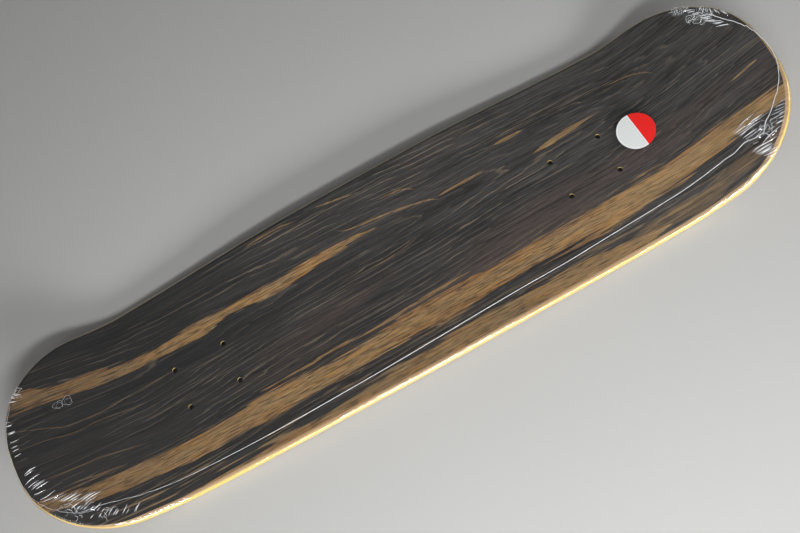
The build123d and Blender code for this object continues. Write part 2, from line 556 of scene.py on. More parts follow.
@dataclass(frozen=True)
class StainedFace:
    """Charcoal stain on flat-sawn maple, with tan streaks, and raw wood on the rounded edges.

    A ramp gives the two places or levels between which something changes, and what it is at each.
    """

    dark: Colour = (0.0130, 0.0128, 0.0128)
    light: Colour = (0.079, 0.076, 0.073)
    line: Colour = (0.250, 0.195, 0.135)
    warm: Colour = (0.110, 0.074, 0.063)
    tan: Colour = (0.480, 0.270, 0.092)
    burnt: Colour = (0.360, 0.165, 0.055)
    pale: Colour = (0.560, 0.385, 0.195)
    grey_tan: Colour = (0.335, 0.224, 0.112)
    knot: Colour = (0.055, 0.036, 0.024)
    raw: Colour = (0.840, 0.620, 0.190)
    sanded: Colour = (0.520, 0.345, 0.195)

    # Stain
    swirl: Ramp = (180.0 * MM, 380.0 * MM, 1.0, 1.9)
    fill: Pair = (0.36, 0.70)
    # Painted shade and light: this ramp makes the stain darker toward the tail and paler toward the nose.
    tailward: Ramp = (-400.0 * MM, 380.0 * MM, 0.28, 1.4)
    warm_middle: float = -24.0 * MM
    warm_ahead: Ramp = (-210.0 * MM, -80.0 * MM, 0.1, 1.0)
    warm_spread: Ramp = (12.0 * MM, 34.0 * MM, 1.0, 0.2)
    warm_fill: Pair = (0.3, 0.7)
    warm_zone: Mottle = Mottle(5.0, 26.0, 2.0, 31.0, 0.42, 0.62, 0.1, 0.75)
    patches: Mottle = Mottle(8.0, 60.0, 3.0, 17.0, 0.38, 0.64, 0.0, 0.72)
    thread: Pair = (0.34, 0.52)
    drawn_from_tail: Ramp = (-400.0 * MM, 0.0, 0.4, 1.0)
    drawn_to_nose: Ramp = (140.0 * MM, 330.0 * MM, 1.0, 0.55)
    strands: Mottle = Mottle(7.0, 520.0, 3.0, 23.0, 0.61, 0.67, 0.0, 0.65)
    strand_zone: Mottle = Mottle(6.0, 50.0, 2.0, 29.0, 0.44, 0.64)
    veins: Mottle = Mottle(9.0, 520.0, 3.0, 53.0, 0.58, 0.68, 0.0, 0.75)
    pore_depth: float = 0.6

    # Streaks
    span: Pair = (-420.0 * MM, 420.0 * MM)
    breadth: float = 110.0 * MM
    widest: float = 20.0 * MM
    mottled: Mottle = Mottle(22.0, 300.0, 4.0, 37.0, 0.36, 0.62)
    ember: Mottle = Mottle(6.0, 90.0, 3.0, 43.0, 0.40, 0.60, 0.15, 0.85)
    bright: Mottle = Mottle(60.0, 800.0, 3.0, 73.0, 0.54, 0.64, 0.0, 0.6)
    hair: Mottle = Mottle(55.0, 850.0, 4.0, 71.0, 0.50, 0.60, 0.0, 0.7)
    flecks: Mottle = Mottle(30.0, 700.0, 2.0, 41.0, 0.62, 0.70, 0.0, 0.7)
    dark_fibre: Ramp = (0.52, 0.32, 0.0, 0.55)
    # Painted shade darkens the streaks toward the tail, and a painted sheen pales them toward the nose.
    painted_tail_shade: Ramp = (-120.0 * MM, -390.0 * MM, 0.0, 0.46)
    painted_nose_sheen: Ramp = (60.0 * MM, 380.0 * MM, 0.0, 0.22)
    # Pale flecks along the near rail: partly the wood's own, partly a painted reflection of the film's sheen
    # by the rail.
    near_rail_sheen_band: Pair = (-68.0 * MM, -84.0 * MM)
    rail_flecks_and_sheen: Mottle = Mottle(14.0, 330.0, 3.0, 61.0, 0.56, 0.64, 0.0, 0.75)

    # Sanded edges, with the bands' widths along the right rail and along the left
    rim_width: Pair = (2.2 * MM, 1.0 * MM)
    sanded_width: Pair = (5.4 * MM, 1.4 * MM)
    side_to_side: Pair = (-70.0 * MM, 70.0 * MM)
    tail_thinner: Ramp = (-370.0 * MM, -310.0 * MM, 0.4, 1.0)
    band_soft: float = 0.25 * MM
    wear: float = 1.2 * MM
    left_in_fibre: Ramp = (0.30, 0.52, 0.45, 0.95)
    drilled_tilt: Pair = (0.80, 0.60)
    raw_bands: float = 0.78

    roughness: Ramp = (0.25, 0.75, 0.38, 0.56)
    gloss: float = 0.35
    bump_share: float = 0.35
    bump_depth: float = 0.15 * MM

    def charcoal(self, plan: Plan, wood: Outputs, figure: Outputs) -> Socket:
        """The stained wood between the streaks, with painted shade toward the tail and painted light toward
        the nose.

        Args:
            plan: The deck in plan.
            wood: What the wood fibre group gives.
            figure: What the ring lines group gives.

        Returns:
            Its colour.
        """
        graph = plan.graph
        short = graph.grain(plan.place, 70.0, 760.0, 2.0, 83.0)
        parts = ((short, 0.20), (wood["Bands"], 0.30), (wood["Fibre"], 0.50), (figure["Tone"], 0.06))
        shade = 0.0
        for source, share in parts:
            shade = graph.maths("MULTIPLY_ADD", source, share, shade)
        # Painted shade toward the tail and painted light toward the nose scale the stain's share.
        painted_lit_share = graph.times(graph.remap(shade, *self.fill), graph.remap(plan.x, *self.tailward))
        off_warm = graph.maths("ABSOLUTE", graph.minus(plan.y, self.warm_middle))
        warmth = graph.times(
            self.warm_zone.mask(plan),
            graph.remap(plan.x, *self.warm_ahead),
            graph.remap(off_warm, *self.warm_spread),
            graph.remap(shade, *self.warm_fill),
        )
        drawn = graph.times(
            figure["Lines"],
            self.patches.mask(plan),
            graph.remap(wood["Fibre"], *self.thread),
            graph.remap(plan.x, *self.drawn_from_tail),
            graph.remap(plan.x, *self.drawn_to_nose),
        )
        return graph.coats(
            graph.blend(painted_lit_share, self.dark, self.light),
            (warmth, self.warm),
            (drawn, self.line),
            (graph.times(self.strands.mask(plan), self.strand_zone.mask(plan)), self.line),
            (self.veins.mask(plan), self.dark),
            (graph.times(wood["Pores"], self.pore_depth), self.dark),
        )

    def ragged(self, plan: Plan) -> Socket:
        """How far the fibres splinter in and out along the edge of a streak.

        Args:
            plan: The deck in plan.

        Returns:
            The shift in shares of the streak's half width, about -1 to 1.
        """
        graph = plan.graph
        torn = graph.grain(plan.place, 14.0, 360.0, 4.0, 2.2)
        wavy = graph.grain(plan.place, 11.0, 60.0, 2.0, 8.8)
        hairy = graph.grain(plan.place, 28.0, 900.0, 3.0, 5.5)
        shift = 0.0
        for source, share in ((torn, 1.9), (wavy, 0.8), (hairy, 1.0)):
            shift = graph.maths("MULTIPLY_ADD", graph.minus(source, 0.5), share, shift)
        return shift

    def streak_masks(self, plan: Plan, group: NodeTree) -> tuple[Socket, Socket]:
        """All the streaks together.

        Args:
            plan: The deck in plan.
            group: The ragged streak group.

        Returns:
            The streaks' mask, and how near their rims it is.
        """
        graph = plan.graph
        start = self.span[0]
        length = self.span[1] - start
        along = graph.maths("DIVIDE", graph.minus(plan.x, start), length)
        ragged = self.ragged(plan)
        mask = 0.0
        rim = 0.0
        for streak in STREAKS:
            stops = [(x * MM - start) / length for x, _, _ in streak.points]
            middles = [y * MM / self.breadth / 2 + 0.5 for _, y, _ in streak.points]
            halves = [h * MM / self.widest for _, _, h in streak.points]
            middle = graph.curve(along, list(zip(stops, middles)))
            half = graph.curve(along, list(zip(stops, halves)))
            across = graph.minus(plan.y, graph.times(graph.minus(middle, 0.5), self.breadth * 2))
            width = graph.times(half, self.widest)
            out = graph.place_group(group, Across=across, Half_Width=width, Ragged=ragged)
            part = graph.times(out["Mask"], streak.strength)
            mask = graph.maths("MAXIMUM", part, mask)
            rim = graph.maths("MAXIMUM", graph.times(out["Rim"], part), rim)
        return mask, rim

    def streaked(self, plan: Plan, wood: Outputs, group: NodeTree, colour: Socket) -> Socket:
        """The streaks, with painted shade toward the tail and a painted sheen toward the nose, and the pale
        flecks along the near rail, partly a painted reflection, over the stain.

        Args:
            plan: The deck in plan.
            wood: What the wood fibre group gives.
            group: The ragged streak group.
            colour: The stain's colour.

        Returns:
            The colour with them.
        """
        graph = plan.graph
        mask, rim = self.streak_masks(plan, group)
        inside = graph.coats(
            graph.blend(self.mottled.mask(plan), self.tan, self.grey_tan),
            (graph.times(rim, self.ember.mask(plan)), self.burnt),
            (self.bright.mask(plan), self.pale),
            (self.hair.mask(plan), self.knot),
            (self.flecks.mask(plan), self.knot),
            (graph.remap(wood["Fibre"], *self.dark_fibre), self.knot),
            # Painted shade toward the tail, and a painted sheen toward the nose.
            (graph.remap(plan.x, *self.painted_tail_shade), self.knot),
            (graph.remap(plan.x, *self.painted_nose_sheen), self.pale),
        )
        # The near rail's pale flecks, partly a painted reflection of the film's sheen.
        flecks = graph.times(graph.remap(plan.y, *self.near_rail_sheen_band), self.rail_flecks_and_sheen.mask(plan))
        return graph.coats(colour, (mask, inside), (flecks, self.grey_tan))

    def from_rim(self, plan: Plan) -> Socket:
        """How far inside the deck's outline a place is, a little unevenly.

        Args:
            plan: The deck in plan.

        Returns:
            The distance in metres.
        """
        graph = plan.graph
        out = graph.maths("ABSOLUTE", plan.y)
        inside = RAIL.inside(graph, plan.x, out)
        for tip, corner in ((NOSE_TIP, NOSE_CORNER), (TAIL_TIP, TAIL_CORNER)):
            inside = graph.maths("MINIMUM", inside, tip.inside(graph, plan.x, out))
            beyond = graph.times(graph.minus(plan.x, corner.middle[0] * MM), tip.toward)
            lean = corner.middle[1] / abs(corner.middle[0] - tip.middle[0])
            outward = graph.minus(out, corner.middle[1] * MM)
            sideways = graph.maths("MULTIPLY_ADD", beyond, -lean, outward)
            in_corner = graph.maths("GREATER_THAN", graph.maths("MINIMUM", beyond, sideways), 0.0)
            rounded = corner.inside(graph, plan.x, out)
            change = graph.minus(graph.maths("MINIMUM", rounded, inside), inside)
            inside = graph.maths("MULTIPLY_ADD", change, in_corner, inside)
        uneven = graph.minus(graph.grain(plan.place, 40.0, 40.0, 3.0, 67.0), 0.5)
        return graph.maths("MULTIPLY_ADD", uneven, self.wear, inside)

    def rim_band(self, plan: Plan, inside: Socket, widths: Pair) -> Socket:
        """Where the sander took the stain off along the outline.

        Args:
            plan: The deck in plan.
            inside: How far inside the outline a place is.
            widths: The band's width along the right rail and along the left.

        Returns:
            0 on the face, 1 in the band.
        """
        graph = plan.graph
        width = graph.times(
            graph.remap(plan.y, *self.side_to_side, *widths), graph.remap(plan.x, *self.tail_thinner)
        )
        return graph.remap(graph.minus(inside, width), self.band_soft, -self.band_soft)

    def worn(self, plan: Plan, wood: Outputs, colour: Socket) -> Socket:
        """Thin stain and raw wood along the outline and in the holes.

        Args:
            plan: The deck in plan.
            wood: What the wood fibre group gives.
            colour: The face's colour.

        Returns:
            The colour with them.
        """
        graph = plan.graph
        inside = self.from_rim(plan)
        band = self.rim_band(plan, inside, self.sanded_width)
        thin_stain = graph.times(band, graph.remap(wood["Fibre"], *self.left_in_fibre))
        _, _, upright = graph.split(graph.add("ShaderNodeNewGeometry").outputs["Normal"])
        hole_edge = graph.times(graph.remap(upright, *self.drilled_tilt), plan.drilled())
        edge = graph.maths("MAXIMUM", self.rim_band(plan, inside, self.rim_width), hole_edge)
        raw = graph.blend(wood["Bands"], self.raw, shaded(self.raw, self.raw_bands))
        return graph.coats(colour, (thin_stain, self.sanded), (edge, raw))

    def make(self, fibre: NodeTree, rings: NodeTree, streak: NodeTree) -> Finish:
        """Build the material.

        Args:
            fibre: The wood fibre group.
            rings: The ring lines group.
            streak: The ragged streak group.

        Returns:
            The material.
        """
        made = Material.named("charcoal_stain")
        graph = made.graph
        plan = Plan.of(made)
        wood = graph.place_group(fibre, Place=plan.place)
        figure = graph.place_group(rings, Place=plan.place, Wobble=graph.remap(plan.x, *self.swirl))
        colour = self.charcoal(plan, wood, figure)
        colour = self.streaked(plan, wood, streak, colour)
        made.feed("Base Color", self.worn(plan, wood, colour))
        made.feed("Roughness", graph.remap(wood["Fibre"], *self.roughness))
        made.feed("Normal", graph.bump(wood["Fibre"], self.bump_share, self.bump_depth))
        made.feed("Specular IOR Level", self.gloss)
        return made.data


@dataclass(frozen=True)
class BareMaple:
    """Unstained maple under a clear sealer."""

    name: str
    grain: GrainWay
    pale: Colour
    deep: Colour
    figured: float = 0.0
    drilled: bool = True
    # Near black where the plies show in the truck holes: some drill scorch, mostly painted shade of the
    # holes' depth.
    bore_scorch_and_shade: Colour = (0.030, 0.018, 0.010)
    wobble: float = 1.4
    ring_fill: Pair = (0.25, 1.0)
    fill: Pair = (0.30, 0.72)
    band_share: float = 0.6
    fibre_share: float = 0.4
    pore_level: float = 0.55
    pore_depth: float = 0.5
    roughness: Ramp = (0.25, 0.75, 0.40, 0.58)
    gloss: float = 0.4
    bump_share: float = 0.3
    bump_depth: float = 0.12 * MM

    def make(self, fibre: NodeTree, rings: NodeTree) -> Finish:
        """Build the material.

        Args:
            fibre: The wood fibre group.
            rings: The ring lines group.

        Returns:
            The material.
        """
        made = Material.named(self.name)
        graph = made.graph
        plan = Plan.of(made)
        turn = graph.add("ShaderNodeMapping", plan.place if self.figured else made.place())
        graph.plug(turn.inputs["Rotation"], (0.0, 0.0, math.radians(self.grain.value)))
        place = turn.outputs[0]
        wood = graph.place_group(fibre, Place=place)
        figure = graph.place_group(rings, Place=place, Wobble=self.wobble)
        fibres = graph.times(wood["Fibre"], self.fibre_share)
        shade = graph.maths("MULTIPLY_ADD", wood["Bands"], self.band_share, fibres)
        ringed = graph.times(graph.remap(figure["Tone"], *self.ring_fill), self.figured)
        share = graph.maths("ADD", graph.remap(shade, *self.fill), ringed)
        colour = graph.coats(
            graph.blend(graph.maths("MINIMUM", share, 1.0), self.pale, self.deep),
            (graph.times(wood["Pores"], self.pore_depth), shaded(self.deep, self.pore_level)),
        )
        # Painted shade in the truck holes, with some drill scorch: the plies go near black there.
        if self.drilled:
            colour = graph.blend(plan.drilled(), colour, self.bore_scorch_and_shade)
        made.feed("Base Color", colour)
        made.feed("Roughness", graph.remap(wood["Fibre"], *self.roughness))
        made.feed("Normal", graph.bump(wood["Fibre"], self.bump_share, self.bump_depth))
        made.feed("Specular IOR Level", self.gloss)
        return made.data


@dataclass(frozen=True)
class LabelStock:
    """Coated paper in two colours: a red segment on the nose side, pale grey on the rest."""

    red: Colour = (0.86, 0.020, 0.016)
    pale: Colour = (0.75, 0.78, 0.77)
    white: Colour = (0.86, 0.87, 0.87)
    chord: float = 2.3 * MM
    chord_lean: float = 0.04
    line: float = 1.0 * MM
    border: float = 1.6 * MM
    soft: float = 0.15 * MM
    fleck: Ramp = (0.3, 0.7, 0.0, 0.25)
    roughness: Ramp = (0.3, 0.7, 0.30, 0.42)
    bump_share: float = 0.12
    bump_depth: float = 0.05 * MM

    def make(self, label: Piece) -> Finish:
        """Build the material.

        Args:
            label: The label's node, whose box gives its centre and size.

        Returns:
            The material.
        """
        low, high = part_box(label.name)
        centre = (low + high) / 2
        border_from = (high.x - low.x) / 2 - self.border
        made = Material.named("label_paper")
        graph = made.graph
        place = made.place()
        from_centre = graph.add("ShaderNodeVectorMath", place, tuple(centre), operation="SUBTRACT")
        x, y, _ = graph.split(from_centre.outputs[0])
        out = graph.maths("SQRT", graph.maths("MULTIPLY_ADD", x, x, graph.times(y, y)))
        ahead = graph.maths("MULTIPLY_ADD", y, self.chord_lean, x)
        nose_side = graph.remap(ahead, self.chord, self.chord + self.soft)
        off_line = graph.maths("ABSOLUTE", graph.minus(ahead, self.chord - self.line / 2))
        on_line = graph.remap(off_line, self.line / 2, self.line / 2 - self.soft)
        border = graph.remap(out, border_from, border_from + self.soft)
        fibres = graph.grain(place, 900.0, 900.0, 2.0, 4.0)
        colour = graph.coats(
            graph.blend(graph.remap(fibres, *self.fleck), self.pale, self.white),
            (border, self.white),
            (nose_side, self.red),
            (on_line, self.white),
        )
        made.feed("Base Color", colour)
        made.feed("Roughness", graph.remap(fibres, *self.roughness))
        made.feed("Normal", graph.bump(fibres, self.bump_share, self.bump_depth))
        return made.data


@dataclass(frozen=True)
class ClearFilm:
    """Clear shrink film: a thin gloss over whatever is under it, hazed where it is gathered."""

    tint: Colour = (0.93, 0.95, 0.97)
    head_on: float = 0.032
    steepness: float = 5.0
    haze: float = 0.14
    haze_and_painted_highlight: Pair = (0.76, 0.95)
    metal: Ramp = (0.1, 1.0, 1.0, 0.4)
    ripple_range: Pair = (0.3, 0.7)
    roughness: Pair = (0.03, 0.07)
    bump_share: float = 0.10
    bump_depth: float = 0.25 * MM

    def make(self, name: str, gathered: bool) -> Finish:
        """Build the material.

        Args:
            name: The material's name.
            gathered: True for the sheet, whose gathers are in its crinkle attribute, and False for
            the bead and the creases, whose near-opaque white is partly a painted highlight.

        Returns:
            The material.
        """
        made = Material.named(name)
        graph = made.graph
        ripple = graph.grain(made.place(), 70.0, 70.0, 2.0, 6.0)
        normal = graph.bump(ripple, self.bump_share, self.bump_depth)
        slant = graph.add("ShaderNodeLayerWeight")
        graph.plug(slant.inputs["Normal"], normal)
        steep = graph.maths("POWER", slant.outputs["Facing"], self.steepness)
        mirror = graph.maths("MULTIPLY_ADD", steep, 1.0 - self.head_on, self.head_on)
        metal = 0.0
        if gathered:
            crinkle = graph.add("ShaderNodeAttribute", attribute_name="crinkle").outputs["Fac"]
            haze = graph.times(crinkle, self.haze)
            metal = graph.remap(crinkle, *self.metal)
        else:
            # Painted highlight: the bead and the creases are hazed near-opaque white in place of the lamps'
            # glints.
            haze = graph.remap(ripple, *self.ripple_range, *self.haze_and_painted_highlight)
        made.feed("Base Color", (*self.tint, 1.0))
        made.feed("Metallic", metal)
        made.feed("Roughness", graph.remap(ripple, *self.ripple_range, *self.roughness))
        made.feed("Normal", normal)
        cover = graph.maths("MINIMUM", graph.maths("ADD", mirror, haze), 1.0)
        clear = graph.add("ShaderNodeBsdfTransparent")
        mix = graph.add("ShaderNodeMixShader", cover, clear.outputs[0], made.shader.outputs[0])
        output = graph.tree.nodes["Material Output"]
        graph.plug(output.inputs["Surface"], mix.outputs[0])
        return made.data


def dress(piece: Piece, material: Finish) -> None:
    """Give a piece one material.

    Args:
        piece: The piece.
        material: Its finish.
    """
    if not piece.material_slots:
        piece.data.materials.append(material)
    for slot in piece.material_slots:
        slot.material = material


def new_piece(name: str, data: bpy.types.ID) -> Piece:
    """Put an object into the scene.

    Args:
        name: Its name.
        data: Its mesh or curve, with its place in it, or its lamp or camera.

    Returns:
        The new object, at the origin.
    """
    piece = bpy.data.objects.new(name, data)
    bpy.context.scene.collection.objects.link(piece)
    return piece


def baked_mesh(piece: Piece) -> Mesh:
    """Read an object as a mesh with its modifiers applied, and remove the object.

    Args:
        piece: A curve, or a mesh with modifiers.

    Returns:
        A new mesh.
    """
    graph = bpy.context.evaluated_depsgraph_get()
    mesh = bpy.data.meshes.new_from_object(piece.evaluated_get(graph))
    bpy.data.objects.remove(piece)
    return mesh


def curve_mesh(name: str, kind: LineKind, runs: list[Run], half_width: float = 0.0) -> Mesh:
    """Lines or thin tubes along runs of points.

    Args:
        name: The mesh's name.
        kind: How each run goes past its points.
        runs: The runs' points, each with its share of the half width.
        half_width: Half the tubes' width, or 0 for bare lines.

    Returns:
        A new mesh.
    """
    data = bpy.data.curves.new(name, "CURVE")
    data.dimensions = "3D"
    for run in runs:
        spline = data.splines.new(kind.value)
        spline.points.add(len(run) - 1)
        for point, (place, share) in zip(spline.points, run):
            point.co = (*place, 1.0)
            point.radius = share
        if kind is LineKind.SMOOTH:
            spline.order_u = 3
            spline.use_endpoint_u = True
            spline.resolution_u = 12
    if half_width > 0.0:
        data.bevel_depth = half_width
        data.bevel_resolution = 2
        data.use_fill_caps = True
    mesh = baked_mesh(new_piece(name, data))
    for face in mesh.polygons:
        face.use_smooth = True
    return mesh


@dataclass
class PressedDeck:
    """The seven veneers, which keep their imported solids."""

    stained: StainedFace = StainedFace()
    core: BareMaple = BareMaple(
        "maple_long_grain", GrainWay.ALONG, (0.840, 0.630, 0.200), (0.740, 0.510, 0.140)
    )
    cross: BareMaple = BareMaple(
        "maple_end_grain", GrainWay.ACROSS, (0.640, 0.450, 0.170), (0.480, 0.310, 0.110)
    )
    face: BareMaple = BareMaple(
        "maple_clear_face",
        GrainWay.ALONG,
        (0.680, 0.500, 0.290),
        (0.560, 0.370, 0.185),
        figured=0.35,
        drilled=False,
    )

    def finish(self) -> None:
        """Dress every veneer."""
        fibre = wood_fibre_group()
        rings = ring_lines_group()
        core = self.core.make(fibre, rings)
        cross = self.cross.make(fibre, rings)
        finishes = {
            "top_face_veneer": self.stained.make(fibre, rings, ragged_streak_group()),
            "upper_core_ply": core,
            "upper_cross_ply": cross,
            "centre_core_ply": core,
            "lower_cross_ply": cross,
            "lower_core_ply": core,
            "bottom_face_veneer": self.face.make(fibre, rings),
        }
        for name, material in finishes.items():
            dress(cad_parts[name], material)
            log.info("dressed %s with %s", name, material.name)


@dataclass(frozen=True)
class Fan:
    """A row of pleats in plan. Their feet lie along a line and they run one way. Millimetres.

    The way turns evenly from the first pleat to the last.
    """

    feet: tuple[Pair, Pair]
    ways: tuple[Pair, Pair]
    count: int
    length: Pair
    height: float
    half_width: float


@dataclass(frozen=True)
class Crumple:
    """A patch of crushed film in plan: its middle, its half sizes and its height. Millimetres."""

    middle: Pair
    half_size: Pair
    height: float

    def depth_at(self, spot: Vector) -> float:
        """How far inside the patch a place is.

        Args:
            spot: A place on the film in metres.

        Returns:
            The depth, 1 in the middle and 0 or less outside.
        """
        along = (spot.x / MM - self.middle[0]) / self.half_size[0]
        across = (spot.y / MM - self.middle[1]) / self.half_size[1]
        return 1.0 - along * along - across * across


@dataclass(frozen=True)
class Loop:
    """A round crease in plan: its middle, half sizes and share of a crease's width. Millimetres."""

    middle: Pair
    half_size: Pair
    share: float


@dataclass(frozen=True)
class Pleat:
    """One pleat in plan, from its foot to its end. Metres."""

    foot: Vector
    run: Vector
    height: float
    half_width: float
    bluntness: float = 0.6

    def place_of(self, spot: Vector) -> Pair:
        """Where a place lies against the pleat.

        Args:
            spot: The place in plan.

        Returns:
            Its share of the way along, and its distance to the side in half widths.
        """
        out = spot - self.foot
        share = out.dot(self.run) / self.run.length_squared
        return share, (out - self.run * share).length / self.half_width

    def height_at(self, spot: Vector) -> float:
        """How far the pleat lifts the film at a place in plan.

        Args:
            spot: The place.

        Returns:
            The lift in metres.
        """
        share, side = self.place_of(spot)
        if not 0.0 < share < 1.0 or side >= 1.0:
            return 0.0
        fade = math.sin(math.pi * share) ** self.bluntness
        return self.height * fade * math.cos(math.pi / 2 * side) ** 2


FANS = (
    Fan(((-397, 4), (-395, 44)), ((1.0, 0.1), (1.0, -0.2)), 8, (4, 8), 0.3, 0.6),
    Fan(((-395, -8), (-388, -46)), ((1.0, 0.25), (1.0, 0.05)), 3, (5, 13), 0.6, 0.8),
    Fan(((-382, -47), (-352, -63)), ((1.0, 0.1), (1.0, 0.2)), 10, (6, 17), 0.6, 0.9),
    Fan(((-374, -58), (-346, -76)), ((1.0, 0.25), (0.8, 0.5)), 10, (4, 11), 0.6, 0.9),
    Fan(((-358, -77), (-318, -90)), ((0.8, 0.5), (0.7, 0.7)), 10, (4, 10), 0.5, 0.9),
    Fan(((-388, 58), (-376, 71)), ((0.9, -0.3), (0.9, -0.5)), 6, (4, 9), 0.4, 0.7),
    Fan(((334, -51), (340, -64)), ((1.0, 0.12), (1.0, 0.0)), 7, (9, 24), 0.6, 0.9),
    Fan(((338, -76), (346, -89)), ((1.0, -0.05), (1.0, -0.1)), 8, (9, 22), 0.6, 0.9),
    Fan(((372, -71), (385, -54)), ((-1.0, 0.1), (-1.0, 0.3)), 9, (5, 14), 0.6, 0.9),
    Fan(((362, 79), (378, 42)), ((0.85, -0.5), (0.8, -0.6)), 13, (5, 13), 0.7, 0.9),
    Fan(((376, 70), (388, 52)), ((-0.6, -0.4), (0.3, -0.9)), 8, (4, 9), 0.6, 0.8),
)
FOLDS = (
    ((-394, -15), (-386, -13)), ((-396, -23), (-382, -19)), ((-395, -27), (-384, -24)),
    ((-393, -30), (-380, -27)), ((-389, -31), (-378, -29)), ((-392, -35), (-382, -35)),
    ((-389, -42), (-375, -39)), ((-388, -45), (-368, -45)), ((341, -50), (358, -48)),
    ((350, -53), (363, -53)), ((335, -52), (368, -55)), ((341, -76), (362, -78)),
    ((339, -81), (358, -82)), ((349, -76), (370, -72)), ((372, 54), (383, 44)), ((376, 43), (385, 38)),
)
CRUMPLES = (
    Crumple((-374, -58), (10, 5), 0.7),
    Crumple((-360, -67), (13, 6), 0.9),
    Crumple((-342, -79), (11, 5), 0.6),
    Crumple((358, -66), (10, 8), 1.1),
    Crumple((345, -67), (9, 5), 0.7),
    Crumple((374, 61), (11, 9), 1.3),
    Crumple((364, 68), (7, 7), 1.1),
    Crumple((362, 81), (10, 7), 1.9),
    Crumple((-379, 63), (8, 6), 0.5),
)
LOOPS = (
    Loop((-348, 37), (4.5, 3.5), 0.48),
    Loop((-347.2, 36.4), (2.6, 2.4), 0.34),
    Loop((-339.5, 37.5), (4.2, 4.8), 0.48),
    Loop((-339.0, 36.4), (3.0, 3.2), 0.34),
    Loop((363.5, 66.5), (4.0, 3.0), 0.9),
    Loop((367.5, 60), (3.6, 2.8), 0.9),
    Loop((371, 55.5), (3.2, 2.2), 0.9),
)


